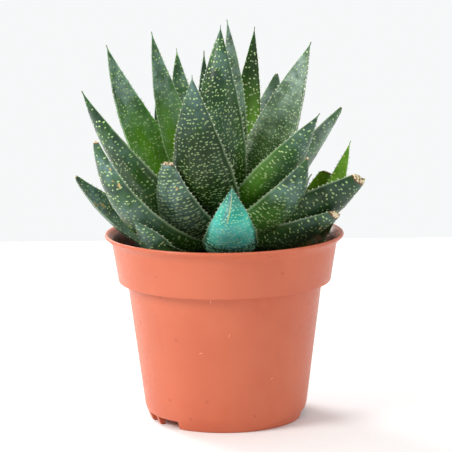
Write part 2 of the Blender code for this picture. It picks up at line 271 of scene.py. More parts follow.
def keelLine(n, colour, across, along, under):
    # the pale rib on the underside of the blue-green leaf, with a greyish tint beside it
    drift = n.sums("SUBTRACT", across, n.sums("MULTIPLY_ADD", along, keelPlan["slant"], -keelPlan["slant"]))
    near = n.sums("ABSOLUTE", drift)
    top = n.sums("MULTIPLY", under, n.spread(along, keelPlan["from"], keelPlan["to"]))
    aside = n.sums("ABSOLUTE", n.sums("ADD", drift, keelPlan["aside"]))
    beside = n.sums("MULTIPLY", top, n.spread(aside, 0.08, 0.26, 0.5, 0.0))
    colour = n.mix(beside, colour, tone(*keelPlan["grey"]))
    line = n.sums("MULTIPLY", top, n.spread(near, 0.02, 0.07, 0.85, 0.0))
    return n.mix(line, colour, tone(*keelPlan["cream"]))


def leafSkin(kind):
    finish = skinFinish
    dull = kind == "bright"
    colours = {name: tone(*value) for name, value in skins[kind].items()}
    made, n = newMaterial("leafSkin_" + kind, finish["roughness"], **{
        "Specular IOR Level": finish["dullSpecular"] if dull else finish["specular"],
        "Coat Weight": 0 if dull else finish["coat"], "Coat Roughness": finish["coatRoughness"],
        "Subsurface Weight": finish["through"], "Subsurface Scale": finish["throughScale"],
        "Subsurface Radius": finish["throughRadius"]})
    parts = n.add("SeparateColor")
    n.link(n.attribute("leafTint", "Color"), parts.inputs["Color"])
    bloom, lit, dried = parts.outputs
    leafMap = n.add("UVMap")
    leafMap.uv_map = "leafMap"
    mapped = leafMap.outputs["UV"]
    sideways, along, _ = n.axes(mapped)
    side = n.sums("FRACT", sideways)
    across = n.sums("SUBTRACT", n.sums("ADD", side, side), 1.0)

    mottle = n.noise(120, 4)
    fibre = n.noise(1.0, 2, place=mapped, stretch=finish["fibre"])  # fine lines along the leaf
    colour = n.mix(n.spread(mottle, 0.34, 0.66), colours["deep"], colours["mid"])
    patches = n.spread(n.noise(70, 3, 0.6), 0.4, 0.58, 0.32, 1.0)
    patches = n.sums("MULTIPLY", patches, n.grain(300, 4, 0.3, 0.6, 0.5, 1.0))
    # wax bloom and painted sheen, in patches
    bloomAndSheenShare = n.sums("MULTIPLY", bloom, patches)
    colour = n.mix(bloomAndSheenShare, colour, colours["bloom"])
    # painted shade toward the foot, and toward the tip on the blue-green leaf
    shade = n.sums("MULTIPLY", n.attribute("leafShade"), n.grain(90, 3, 0.3, 0.6, 0.75, 1.0))
    colour = n.mix(shade, colour, tone(*finish["shadow"]))
    # painted glow of light through the flesh; on the blue-green leaf, painted shade instead
    colour = n.mix(n.sums("MULTIPLY", lit, n.spread(fibre, 0.2, 0.7, 0.75, 1.0)), colour, colours["lit"])
    colour = n.mix(n.spread(fibre, 0.56, 0.74, 0.0, 0.12), colour, tone(*finish["margin"]))
    if kind == "teal":
        colour = keelLine(n, colour, across, along, n.spread(sideways, 1.4, 1.6))
    edge = n.spread(n.sums("ABSOLUTE", across), 0.945, 0.985, 0.0, finish["marginShare"])
    colour = n.mix(edge, colour, tone(*finish["margin"]))
    torn = n.sums("ADD", dried, n.grain(500, 3, 0.3, 0.7, -0.2, 0.2))
    colour = n.mix(n.spread(torn, 0.22, 0.5), colour, tone(*finish["brown"]))
    cream = n.mix(n.grain(900, 3, 0.44, 0.62), tone(*finish["cream"]), tone(*finish["fleck"]))
    n.feed("Base Color", n.mix(n.spread(torn, 0.55, 0.75), colour, cream))
    smooth, rough = finish["dullRough"] if dull else finish["rough"]
    n.feed("Roughness", n.spread(n.sums("ADD", mottle, bloomAndSheenShare), 0.4, 1.6, smooth, rough))
    low = n.bump(n.noise(320, 3), 0.16)
    n.feed("Normal", n.bump(n.sums("ADD", n.noise(900, 2), fibre), 0.05, low))
    return made


def markFlesh(kind):
    finish = markFinish
    pale = tone(*markColours[kind])
    made, n = newMaterial("markFlesh_" + kind, 0.4, **{"Subsurface Weight": 0.15, "Subsurface Scale": 0.001})
    dim = dimmed(pale, finish["tealDim"] if kind == "teal" else finish["dim"])
    colour = n.mix(n.grain(300, 3, 0.36, 0.6), dim, pale)
    # painted shade: the marks darken with the painted shade of the leaf toward its foot
    shade = n.sums("MULTIPLY", n.attribute("leafShade"), finish["deepShare"])
    n.feed("Base Color", n.mix(shade, colour, dimmed(pale, finish["deep"])))
    n.polish(1300, 0.34, 0.52)
    return made


# Meshes

def meshObject(name, points, faces):
    mesh = bpy.data.meshes.new(name)
    mesh.from_pydata((np.asarray(points) * mm).tolist(), [], np.asarray(faces).tolist())
    mesh.update()
    return linked(name, mesh)


def closedRings(points):
    # points and triangles of a closed body through equal rings
    rows, sides = points.shape[:2]
    side = np.arange(sides)
    after = (side + 1) % sides
    faces = []
    for row in range(rows - 1):
        a, b = row * sides + side, row * sides + after
        faces.append(np.stack([a, b, b + sides], 1))
        faces.append(np.stack([a, b + sides, a + sides], 1))
    last = (rows - 1) * sides
    total = rows * sides
    faces.append(np.stack([np.full(sides, total), after, side], 1))
    faces.append(np.stack([np.full(sides, total + 1), last + side, last + after], 1))
    allPoints = np.concatenate([points.reshape(-1, 3), [points[0].mean(0)], [points[-1].mean(0)]])
    return allPoints, np.concatenate(faces)


def turnedBody(profile, sides, x=0.0, y=0.0, wobble=None):
    # a closed body turned about a vertical axis. profile runs from the axis underneath, up the outside,
    # to the axis on top
    angle = np.arange(sides) / sides * 2 * np.pi
    rings = []
    for radius, height in profile[1:-1]:
        radii = radius if wobble is None else radius + wobble(angle, height)
        ring = [x + radii * np.cos(angle), y + radii * np.sin(angle), np.full(sides, height)]
        rings.append(np.stack(ring, 1))
    points, faces = closedRings(np.array(rings))
    points[-2] = (x, y, profile[0][1])
    points[-1] = (x, y, profile[-1][1])
    return points, faces


def tube(path, first, second, sides):
    # a closed body round a path. first and second are the half widths of its section at each point
    turns = 2 * np.pi * np.arange(sides) / sides
    rings = [path + first * math.cos(turn) + second * math.sin(turn) for turn in turns]
    return closedRings(np.stack(rings, 1))


def joinBodies(bodies):
    points, faces, count = [], [], 0
    for bodyPoints, bodyFaces in bodies:
        faces.append(np.asarray(bodyFaces) + count)
        points.append(np.asarray(bodyPoints))
        count += len(bodyPoints)
    return np.concatenate(points), np.concatenate(faces)


def outwardFaces(points, faces, size):
    # turns each small closed body of so many triangles face out
    corners = points[faces]
    centre = corners.reshape(-1, size * 3, 3).mean(1).repeat(size, 0)
    a, b, c = (corners[:, number] - centre for number in range(3))
    volume = np.einsum("ij,ij->i", a, np.cross(b, c)).reshape(-1, size).sum(1).repeat(size)
    turned = faces.copy()
    turned[volume < 0] = turned[volume < 0][:, ::-1]
    return turned


def surfaceTree(points, faces):
    return BVHTree.FromPolygons([tuple(point) for point in points], [tuple(face) for face in faces])


def cutAway(piece, cutters, careful=False):
    for points, faces in cutters:
        cut = piece.modifiers.new("cut", "BOOLEAN")
        cut.operation = "DIFFERENCE"
        cut.solver = "EXACT"
        cut.use_self = careful
        cut.object = meshObject("cutter", points, faces)
    graph = bpy.context.evaluated_depsgraph_get()
    seen = piece.evaluated_get(graph)
    result = bpy.data.meshes.new_from_object(seen, preserve_all_data_layers=True, depsgraph=graph)
    for cut in list(piece.modifiers):
        bpy.data.objects.remove(cut.object, do_unlink=True)
    piece.modifiers.clear()
    piece.data = result


def keepPieceAt(piece, point):
    # keeps only what holds together with the corner nearest to the point
    work = bmesh.new()
    work.from_mesh(piece.data)
    target = Vector(point) * mm
    seed = min(work.verts, key=lambda vert: (vert.co - target).length)
    kept = {seed}
    waiting = [seed]
    while waiting:
        vert = waiting.pop()
        for edge in vert.link_edges:
            other = edge.other_vert(vert)
            if other not in kept:
                kept.add(other)
                waiting.append(other)
    bmesh.ops.delete(work, geom=[vert for vert in work.verts if vert not in kept], context="VERTS")
    bmesh.ops.triangulate(work, faces=work.faces)
    work.to_mesh(piece.data)
    work.free()


# Leaves

leafForm = {  # the same proportions as the solids
    "widestFromTip": 0.65, "tipTaper": 1.6, "footTaper": 0.10, "neckWidth": 0.8, "neckLength": 0.3,
    "thickness": 0.30, "thinning": 0.25, "thicknessTaper": 0.8, "footThickness": 0.45, "footLength": 0.4,
    "channel": 0.085, "faceLift": 0.3, "keelRoundness": 2.2, "keelFullness": 0.75, "leastHalf": 0.45,
    "leastDepth": 0.6, "trackSteps": 120, "leastTipSlope": -60.0, "mostTipSlope": 150.0, "halvings": 30,
}
leafMesh = {
    "stationStep": 1.15, "leastStations": 14, "upperSteps": 12, "lowerSteps": 16, "tipCrowding": 0.93,
    "wave": 0.07, "slowWave": 0.62, "fastWave": 1.31, "fastShare": 0.6,
    "edgeWaves": ((0.012, 0.45), (0.008, 1.05)),
    "awn": 1.4, "awnHalf": 0.16, "awnDepth": 0.34, "endLength": 2.4, "endRipple": 0.4, "endBite": 1.3,
    "gap": 0.5, "roomStations": 19, "testStations": 30, "pitStations": 15, "roomUpper": 4, "roomLower": 8,
    "sharpAngle": 62,
}
toothPlan = {"step": 2.5, "height": 1.0, "length": 1.05, "thickness": 0.34, "sink": 0.15, "reach": 0.4,
             "first": 0.06, "last": 0.97, "lastWithAwn": 0.955, "lean": 0.35,
             "lengths": (0.7, 1.2), "heights": (0.6, 1.1), "steps": (0.75, 1.3)}  # how they vary
leafDefaults = {
    "roll": 0.0, "x": 2.0, "y": 2.0, "radius": 6.7,  # where it grows, and how far from there its foot is
    "dried": 0.0, "awn": 1.0, "end": 1.6,  # the share lost at the tip, the thread there and the dry skin
    "skin": "green", "marks": "rows", "lit": 0.25, "bloom": 0.6, "lean": 0.0,  # lean makes the bloom and its painted sheen stronger toward one margin
    "deep": (0.45, 0.55),  # how strong the painted shade gets toward the foot, and where that begins
    "scars": (),  # each scar's share of the length, its place across, its face and its size
}


def leaf(name, azimuth, tip, base, rise, turn, width, **more):
    # tip is its reach and height, base the height of the foot, rise the slope there and turn how that changes
    plan = dict(name=name, azimuth=azimuth, tip=tip, base=base, rise=rise, turn=turn, width=width)
    return {**leafDefaults, **plan, **more}


leaves = [
    leaf("leaf_heart_1", 40, (8, 144), 108.2, 70, 1.0, 12, radius=2),
    leaf("leaf_heart_2", -140, (9, 148), 108.2, 70, 1.0, 11, radius=2.5),
    leaf("leaf_inner_back", -135, (6.5, 199.5), 106, 95, 2.0, 21, x=7, y=3, radius=6, bloom=0.9,
         deep=(0, 0.5), skin="waxySheen"),
    leaf("leaf_inner_front", -15, (10.5, 198), 105, 75, 1.5, 26, roll=5, marks="streaks", bloom=0.65,
         deep=(0.45, 0.97)),
    leaf("leaf_inner_right", 155, (34.5, 194), 101, 65, 0.5, 18, roll=5, skin="bright", lit=0.42, bloom=0.05,
         deep=(0.95, 1.25)),
    leaf("leaf_inner_left", -145, (44.5, 183), 97, 30, 0.5, 22, roll=-15, skin="bright", lit=0.8, bloom=1.0,
         deep=(0.2, 0.5)),
    leaf("leaf_inner_thin", -140, (17.5, 183.5), 105, 65, 0.5, 15, radius=7, bloom=0.8, deep=(0, 0.5)),
    leaf("leaf_tall_left", -115, (41.5, 193), 101, 50, 0.5, 24, roll=-20, skin="bright", lit=0.8, bloom=1.5,
         deep=(0.3, 0.7)),
    leaf("leaf_tall_right", 105, (44, 187.5), 105, 65, 0.6, 33, roll=25, marks="dashes", skin="waxySheen",
         bloom=0.9, lit=0.3, deep=(0.35, 0.5), lean=0.5),
    leaf("leaf_back_short", 145, (45, 169.5), 98, 50, 0.75, 27, roll=10, dried=0.03, awn=0, end=0.8,
         skin="waxySheen", bloom=1.1, deep=(0, 0.5)),
    leaf("leaf_wide_left", -100, (61, 187), 98, 30, 0.5, 30, roll=-30, skin="bright", lit=0.7, bloom=1.1,
         deep=(0.2, 0.5)),
    leaf("leaf_broad_front", -25, (39.5, 176), 100, 25, 0.5, 31, roll=10, marks="dashes", bloom=0.85, lit=0.1,
         deep=(0.95, 1.0)),
    leaf("leaf_mid_left", -70, (75, 168), 91, 20, 0.5, 27, roll=25, bloom=0.7, lit=0.3, deep=(0.65, 0.85)),
    leaf("leaf_mid_right", 50, (58, 157), 101, 45, 0.4, 27, roll=-20, bloom=0.75, lit=1.0, deep=(0.3, 0.8)),
    leaf("leaf_mid_right_back", 110, (62, 153.5), 94, 50, 0.6, 30, roll=-40, dried=0.04, end=1.0, bloom=0.7,
         skin="waxySheen"),
    leaf("leaf_back_sliver", -130, (47.5, 158.5), 94, 5, 0.6, 15),
    leaf("leaf_back_1", 170, (49, 163), 96, 30, 0.75, 22, roll=-5, marks="dashes"),
    leaf("leaf_back_2", -150, (67, 140.5), 93, 5, 0.5, 22, marks="dashes"),
    leaf("leaf_back_3", 150, (67, 147), 94, 25, 0.75, 22),
    leaf("leaf_broad_right", 45, (54.5, 136), 92, 25, 1.0, 30, roll=-15, marks="dashes", awn=0, end=2.2,
         bloom=0.8, lit=0.7, deep=(0.15, 0.4)),
    leaf("leaf_low_front_left", -45, (41, 133.5), 90, 15, 1.0, 29, roll=15, dried=0.08, skin="pale",
         marks="lines", awn=0, end=2.2, bloom=0.8, lit=0.1, deep=(0.9, 0.84), scars=((0.79, 0.6, -1, 1.8),)),
    leaf("leaf_outer_left", -55, (77, 146), 88, -5, 0.75, 26, roll=15, dried=0.05, awn=0, end=1.8, bloom=0.9,
         deep=(0.6, 0.85), lean=0.4,
         scars=((0.76, 0.72, -1, 2.6), (0.79, 0.55, -1, 1.2), (0.85, 0.8, -1, 1.3))),
    leaf("leaf_teal", 2, (54.5, 125), 85, 0, 0.5, 27, skin="teal", marks="arcs", bloom=0.8, lit=1.0,
         deep=(0, 0.5)),
    leaf("leaf_low_right", 65, (72, 125.5), 88, 20, 0.6, 31, roll=-40, dried=0.1, awn=0, end=4.5,
         deep=(0.75, 1.15)),
    leaf("leaf_back_4", -130, (67.5, 127), 91, 0, 0.5, 22, roll=5, marks="dashes"),
    leaf("leaf_back_5", 130, (57, 117), 88, 5, 0.5, 21),
    leaf("leaf_low_right_front", 60, (62, 108), 86, 15, 1.0, 24, roll=-30, dried=0.1, awn=0, end=4.5,
         bloom=0.8, deep=(0.7, 1.1), scars=((0.8, 0.0, -1, 1.3),)),
    leaf("leaf_low_left", -85, (76, 123.5), 83, 15, 1.25, 27, roll=-30, dried=0.04, awn=0, end=0.9, bloom=1.3,
         deep=(0.5, 0.6),
         scars=((0.8, 0.8, 1, 3.6), (0.76, 0.15, 1, 4.2), (0.72, -0.2, 1, 1.4), (0.8, 0.75, -1, 2.2))),
    leaf("leaf_back_6", -175, (61, 104.5), 84, 15, 0.75, 21, marks="lines"),
    leaf("leaf_back_7", 165, (52, 96.5), 82, 0, 0.75, 20, roll=-5),
    leaf("leaf_back_8", -115, (58, 97), 79, 0, 0.5, 20),
    leaf("leaf_small_left", -45, (28, 107.5), 79, 65, 1.0, 19, roll=15, x=-24, y=-24, radius=4, bloom=0.8),
    leaf("leaf_small_front", -35, (55, 96.5), 81, 5, 0.75, 15, roll=-5, bloom=0.5, deep=(0.8, 1.1)),
    leaf("pup_leaf_1", 110, (25, 137), 81, 65, 1.25, 13, roll=40, x=41, y=8, radius=2, skin="lime", lit=0.0,
         deep=(0.96, 0.66)),
    leaf("pup_leaf_2", 100, (20.5, 120.5), 82, 60, 0.5, 22, roll=40, dried=0.25, x=34, y=15, radius=2,
         skin="olive", awn=0, end=1.0, bloom=0.2, lit=0.3),
    leaf("pup_leaf_3", 155, (12, 100.5), 82, 45, 0.75, 8, x=39, y=22, radius=2, skin="lime", lit=0.2),
]


def markStyle(gap, spacing, length, breadth, stray, turn, skip):
    # rows of raised pale marks. Pairs are the value at the tip and at the foot: gap between rows, spacing in
    # a row, length and breadth of a mark. stray is how far a mark leaves its row, and turn 0 lies across
    return dict(gap=gap, spacing=spacing, length=length, breadth=breadth, stray=stray, turn=turn, skip=skip)


markStyles = {
    "rows": markStyle((2.7, 2.1), (2.0, 1.6), (1.1, 1.25), (0.85, 0.68), 0.8, 0, 0.22),
    "dashes": markStyle((2.6, 1.3), (2.0, 1.4), (1.1, 1.45), (0.85, 0.52), 0.5, 0, 0.16),
    "lines": markStyle((1.8, 1.15), (1.9, 1.9), (1.3, 2.4), (0.7, 0.48), 0.16, 0, 0.08),
    "arcs": markStyle((1.9, 1.25), (1.8, 1.6), (1.0, 1.7), (0.75, 0.6), 0.35, 12, 0.1),
    "streaks": markStyle((2.6, 1.2), (1.9, 1.2), (1.1, 1.0), (0.85, 0.5), 0.6, 60, 0.14),
}
markPlan = {
    "rise": 0.26, "sink": 0.07, "sides": 6, "shoulder": (0.62, 0.8), "widest": 0.985, "probe": 0.004,
    "sideProbe": 0.012, "first": 0.965, "last": 0.07, "lastOnSmall": 0.5,
    "least": 0.03, "most": 0.985, "reach": 0.25, "seedShift": 400,
    # how the rows and marks vary
    "filled": 0.9, "side": 0.92, "shift": 0.32, "slant": 0.5, "sag": (0.2, 1.0), "turnSpread": 16,
    "lengths": (0.65, 1.3), "breadths": (0.75, 1.2), "gaps": (0.8, 1.25), "rises": (0.7, 1.25),
}
scarPlan = {"crusts": 7, "spread": 0.36, "rise": 1.2}
shadePlan = {"ramp": 0.42, "tipStrength": 0.68, "tipBegins": 0.66, "tipRamp": 0.24}
smallFoot = 5  # the heart leaves, the offset and the small left leaf start nearer than this to their middle


def widthShare(fromTip):
    form = leafForm
    toTip = 1 - np.clip(1 - fromTip / form["widestFromTip"], 0, 1) ** form["tipTaper"]
    past = np.clip((fromTip - form["widestFromTip"]) / (1 - form["widestFromTip"]), 0, 1)
    return np.minimum(toTip, 1 - form["footTaper"] * past ** 2)


def climb(plan, tipRise):
    # the run and lift of the midline for a slope at the tip, both as shares of its length
    steps = leafForm["trackSteps"]
    share = np.linspace(0, 1, steps + 1)
    slope = np.radians(plan["rise"] + (tipRise - plan["rise"]) * share ** plan["turn"])
    run, lift = np.cos(slope), np.sin(slope)
    run = np.concatenate([[0], np.cumsum(run[1:] + run[:-1])]) / 2 / steps
    lift = np.concatenate([[0], np.cumsum(lift[1:] + lift[:-1])]) / 2 / steps
    return run, lift, slope


def track(plan):
    # the midline from foot to tip: the slope at the tip is the one that brings the leaf to its tip
    reach = plan["tip"][0] - plan["radius"]
    rise = plan["tip"][1] - plan["base"]
    low, high = leafForm["leastTipSlope"], leafForm["mostTipSlope"]
    for _ in range(leafForm["halvings"]):
        tipRise = (low + high) / 2
        run, lift, slope = climb(plan, tipRise)
        if math.atan2(lift[-1], run[-1]) < math.atan2(rise, reach):
            low = tipRise
        else:
            high = tipRise
    length = math.hypot(reach, rise) / math.hypot(run[-1], lift[-1])
    plan["length"] = length
    plan["distance"] = plan["radius"] + run * length
    plan["height"] = plan["base"] + lift * length
    plan["slope"] = slope
    draw = random.Random(plan["name"])
    plan["phases"] = [draw.uniform(0, 2 * math.pi) for _ in range(6)]


def leafPoints(plan, share, across, upper, grow=0.0, awn=True):
    # points of the skin. share runs from foot to tip, across from -1 to 1. upper is 1 above, -1 below
    form = leafForm
    share, across, upper = np.broadcast_arrays(np.clip(share, 0, 1), across, upper)
    steps = np.linspace(0, 1, form["trackSteps"] + 1)
    names = ("slope", "distance", "height")
    slope, distance, height = (np.interp(share, steps, plan[name])[..., None] for name in names)
    azimuth, roll = math.radians(plan["azimuth"]), math.radians(plan["roll"])
    out = np.array((math.sin(azimuth), -math.cos(azimuth), 0.0))
    level = np.array((math.cos(azimuth), math.sin(azimuth), 0.0))
    up = np.array((0.0, 0.0, 1.0))
    along = out * np.cos(slope) + up * np.sin(slope)
    upward = np.cross(along, level)
    sideways = level * math.cos(roll) + upward * math.sin(roll)
    outward = upward * math.cos(roll) - level * math.sin(roll)
    middle = np.array((plan["x"], plan["y"], 0.0)) + out * distance + up * height

    pointed = bool(awn and plan["awn"] and not plan["dried"])
    grown = share * (1 - plan["dried"])
    if pointed:
        grown = np.minimum(grown * (1 + leafMesh["awn"] * plan["awn"] / plan["length"]), 1)
    fullness = widthShare(1 - grown)
    neck = form["neckWidth"] + (1 - form["neckWidth"]) * eased(grown / form["neckLength"])
    foot = form["footThickness"] + (1 - form["footThickness"]) * eased(grown / form["footLength"])
    leastHalf = leafMesh["awnHalf"] if pointed else form["leastHalf"]
    leastDepth = leafMesh["awnDepth"] if pointed else form["leastDepth"]
    half = np.maximum(plan["width"] / 2 * fullness * neck, leastHalf)
    thick = form["thickness"] * (1 - form["thinning"] * grown)
    depth = np.maximum(plan["width"] * thick * fullness ** form["thicknessTaper"] * foot, leastDepth)
    channel = form["channel"] * plan["width"] * fullness * foot

    one, two, three, four, five, six = plan["phases"]
    beat = share * plan["length"]
    wave = leafMesh["wave"] * np.minimum(1, fullness * 2)
    fast = np.sin(beat * leafMesh["fastWave"] + two - 2 * across * upper)
    ripple = wave * (np.sin(beat * leafMesh["slowWave"] + one + across) + leafMesh["fastShare"] * fast)
    (slowDepth, slowBeat), (fastDepth, fastBeat) = leafMesh["edgeWaves"]
    slowEdge = slowDepth * np.sin(beat * slowBeat + three + across)
    half = half * (1 + slowEdge + fastDepth * np.sin(beat * fastBeat + four))
    if awn and plan["dried"]:  # the torn end of a leaf that has lost its tip
        zone = leafMesh["endLength"] / plan["length"]
        torn = eased((share - (1 - zone)) / zone)
        ragged = min(plan["end"] / 4, 1)
        crinkle = np.sin(across * 9 + five) * np.sin(across * 4 + six)
        ripple = ripple + torn * ragged * leafMesh["endRipple"] * crinkle
        bite = torn * ragged * leafMesh["endBite"] * np.abs(np.sin(across * 5 + five))
        middle = middle - along * bite[..., None]
        half = half * (1 - (0.32 - 0.2 * ragged) * torn ** 2)  # it shrinks as it dries
        depth = depth * (1 - 0.4 * torn)
    edge = 1 - np.abs(across) ** 8
    onTop = form["faceLift"] * edge - channel * (1 - across ** 2) + ripple * edge + grow
    keel = (1 - np.abs(across) ** form["keelRoundness"]) ** form["keelFullness"]
    under = -depth * keel + ripple * edge * 0.6 - grow * edge
    lift = np.where(upper > 0, onTop, under)
    side = across * half + np.sign(across) * np.abs(across) ** 4 * grow * 2
    return middle + sideways * side[..., None] + outward * lift[..., None]


def leafRings(plan, stations, upperSteps, lowerSteps, grow=0.0, awn=True):
    shares = np.linspace(0, 1, stations)
    if awn:
        shares = shares ** leafMesh["tipCrowding"]  # a little closer together at the tip
    top = np.cos(np.pi * np.arange(upperSteps + 1) / upperSteps) * 0.5
    top = top + np.linspace(1, -1, upperSteps + 1) * 0.5
    bottom = -np.cos(np.pi * np.arange(1, lowerSteps) / lowerSteps) * 0.6
    bottom = bottom + np.linspace(-1, 1, lowerSteps + 1)[1:-1] * 0.4
    across = np.concatenate([top, bottom])
    face = np.concatenate([np.ones(len(top)), -np.ones(len(bottom))])
    points = leafPoints(plan, shares[:, None], across[None, :], face[None, :], grow, awn)
    if grow:
        points[0] -= unit(points[1].mean(0) - points[0].mean(0)) * grow
        points[-1] += unit(points[-1].mean(0) - points[-2].mean(0)) * grow * 1.5
    return points, shares, across


def roomBody(plan, stations, grow=0.0):
    # a coarse body of the leaf, grown by the room to leave around it
    rings, _, _ = leafRings(plan, stations, leafMesh["roomUpper"], leafMesh["roomLower"], grow, False)
    return closedRings(rings)


def skinTint(plan, share, across, upper):
    # red is wax bloom and painted sheen, green a painted glow of light through the flesh (painted shade on
    # the blue-green leaf), blue is dried skin: brown up to a half, then cream
    phase, patchPhase = plan["phases"][2:4]
    patch = 0.5 + 0.5 * np.sin(share * plan["length"] * 0.17 + patchPhase + 1.6 * across)  # slow patches
    flank = 1 - 0.45 * np.abs(across) ** 2  # underneath, the bloom and painted sheen thin toward the margins
    below = 0.55 if plan["skin"] == "bright" else 1.0
    if plan["skin"] == "teal":
        # painted shade along the margins and at the foot of the blue-green leaf
        lit = np.maximum(eased((np.abs(across) - 0.58 - 0.5 * share) / 0.16), eased((0.47 - share) / 0.09))
        bloom = plan["bloom"] * (0.25 + 0.75 * eased((0.9 - share) / 0.35))
        bloom = bloom * (0.75 - 0.25 * np.sin(across * 2.2))
    else:
        # painted glow of light through the flesh, toward the foot and stronger on the upper face
        glow = eased((0.8 - share) / 0.42) * np.where(upper > 0, 1.0, 0.45)
        lit = plan["lit"] * glow * (0.8 + 0.2 * np.sin(across * 5 + phase))
        bloom = plan["bloom"] * (0.75 + 0.45 * patch) * np.where(upper > 0, 0.8, flank * below)
        # lean makes one margin lighter: a painted sheen
        bloom = bloom * (0.2 + 0.8 * eased((share - 0.2) / 0.35)) * (1 + plan["lean"] * across)
        bloom = bloom * (1 - 0.85 * lit)
    zone = plan["end"] / plan["length"]
    if plan["dried"] or not plan["awn"]:
        dried = eased((share - (1 - zone)) / (0.8 * zone)) * 0.95
    else:
        dried = eased((share - (1 - zone)) / zone) * 0.5
    foot = 0.5 if plan["radius"] < smallFoot else 0.14  # how far the brown of the foot climbs
    dried = dried + 0.42 * eased((foot - share) / foot)
    return np.stack([bloom, lit, dried, np.ones_like(share)], -1)


def footShade(plan, share):
    # painted shade on the skin: toward the foot, or toward the tip of the blue-green leaf
    if plan["skin"] == "teal":
        return shadePlan["tipStrength"] * eased((share - shadePlan["tipBegins"]) / shadePlan["tipRamp"])
    strength, begins = plan["deep"]
    return strength * eased((begins - share) / shadePlan["ramp"])


def skinnedLeaf(plan):
    stations = max(leafMesh["leastStations"], int(plan["length"] / leafMesh["stationStep"]))
    rings, shares, across = leafRings(plan, stations, leafMesh["upperSteps"], leafMesh["lowerSteps"])
    points, faces = closedRings(rings)
    piece = meshObject("part_" + plan["name"], points, faces)
    share = np.concatenate([np.repeat(shares, len(across)), [0.0, 1.0]])
    spot = np.concatenate([np.tile(across, stations), [0.0, 0.0]])
    column = np.concatenate([np.tile(np.arange(len(across)), stations), [0, 0]])
    corners = faces.reshape(-1)
    # a face belongs to the upper side when all its columns are upper ones
    onTop = ((column[faces] <= leafMesh["upperSteps"]).all(1)).repeat(3)
    values = skinTint(plan, share[corners], spot[corners], np.where(onTop, 1.0, -1.0))
    uv = np.stack([(spot[corners] + 1) / 2 + np.where(onTop, 0, 2), share[corners]], -1)
    piece.data.uv_layers.new(name="leafMap").data.foreach_set("uv", uv.astype(np.float32).reshape(-1))
    tint = piece.data.color_attributes.new("leafTint", "FLOAT_COLOR", "CORNER")
    tint.data.foreach_set("color", values.astype(np.float32).reshape(-1))
    return piece


def domeShape():
    # one low mark: a ring at its edge, a ring at its shoulder and a top
    sides = markPlan["sides"]
    around = np.arange(sides) / sides * 2 * np.pi
    wide, high = markPlan["shoulder"]
    corners = [(math.cos(a), math.sin(a), 0.0) for a in around]
    corners += [(wide * math.cos(a), wide * math.sin(a), high) for a in around] + [(0.0, 0.0, 1.0)]
    side = np.arange(sides)
    after = (side + 1) % sides
    below = np.arange(1, sides - 1)
    return np.array(corners), np.concatenate([
        np.stack([side, after, after + sides], 1), np.stack([side, after + sides, side + sides], 1),
        np.stack([side + sides, after + sides, np.full(sides, 2 * sides)], 1),
        np.stack([0 * below, below + 1, below], 1)])


domeCorners, domeFaces = domeShape()


def domes(plan, rows, rise):
    # low raised marks that follow the skin. A row holds share, across, length, breadth, turn and face
    share, across, lengths, breadths, turns, face = (rows[:, number, None] for number in range(6))
    width = np.maximum(plan["width"] / 2 * widthShare(1 - share * (1 - plan["dried"])), 1.0)
    c, s = np.cos(turns), np.sin(turns)
    a = domeCorners[:, 0] * lengths / 2
    b = domeCorners[:, 1] * breadths / 2
    share = share + (a * s + b * c) / plan["length"]
    across = np.clip(across + (a * c - b * s) / width, -markPlan["widest"], markPlan["widest"])
    base = leafPoints(plan, share, across, face)
    probe, sideProbe = markPlan["probe"], markPlan["sideProbe"]
    near = np.clip(share, probe, 1 - 1.5 * probe)
    ahead, behind = (leafPoints(plan, near + step, across, face) for step in (probe, -probe))
    right, left = (leafPoints(plan, share, across + step, face) for step in (sideProbe, -sideProbe))
    normal = unit(np.cross(right - left, ahead - behind) * face[..., None])
    height = domeCorners[:, 2] * rise[:, None] - markPlan["sink"]
    points = (base + normal * height[..., None]).reshape(-1, 3)
    faces = domeFaces + np.arange(len(rows))[:, None, None] * len(domeCorners)
    return points, outwardFaces(points, faces.reshape(-1, 3), len(domeFaces))


def between(pair, footward):
    # from the value at the tip to the one at the foot, which is reached a fifth of the leaf before it
    return pair[0] + (pair[1] - pair[0]) * min(1.0, footward * 1.25)


def markRows(plan):
    # rows of marks on both faces, from the tip down
    draw = random.Random(plan["name"] + "marks")
    style, rule = markStyles[plan["marks"]], markPlan
    lowest = rule["lastOnSmall"] if plan["radius"] < smallFoot else rule["last"]
    rows = []
    for side in (1.0, -1.0):
        place = plan["length"] * rule["first"]
        while place > plan["length"] * lowest:
            share = place / plan["length"]
            footward = 1 - share
            half = float(plan["width"] / 2 * widthShare(1 - share * (1 - plan["dried"])))
            number = max(1, int(2 * half * rule["filled"] / between(style["spacing"], footward)))
            slant = draw.uniform(-rule["slant"], rule["slant"])
            sag = draw.uniform(*rule["sag"])
            for index in range(number):
                if draw.random() < style["skip"]:
                    continue
                shift = draw.uniform(-rule["shift"], rule["shift"])
                across = (index + 0.5 + shift) / number * 2 * rule["side"] - rule["side"]
                away = draw.gauss(0, style["stray"]) + slant * across - sag * across * across
                length = between(style["length"], footward) * draw.uniform(*rule["lengths"])
                breadth = between(style["breadth"], footward) * draw.uniform(*rule["breadths"])
                turn = draw.gauss(style["turn"] * min(1, footward * 1.6), rule["turnSpread"])
                along = share + away / plan["length"]
                rows.append((along, across, max(length, breadth), breadth, math.radians(turn), side))
            place -= between(style["gap"], footward) * draw.uniform(*rule["gaps"])
    last = min(rule["most"], 1 - plan["end"] / plan["length"])
    return np.array([row for row in rows if rule["least"] < row[0] < last])


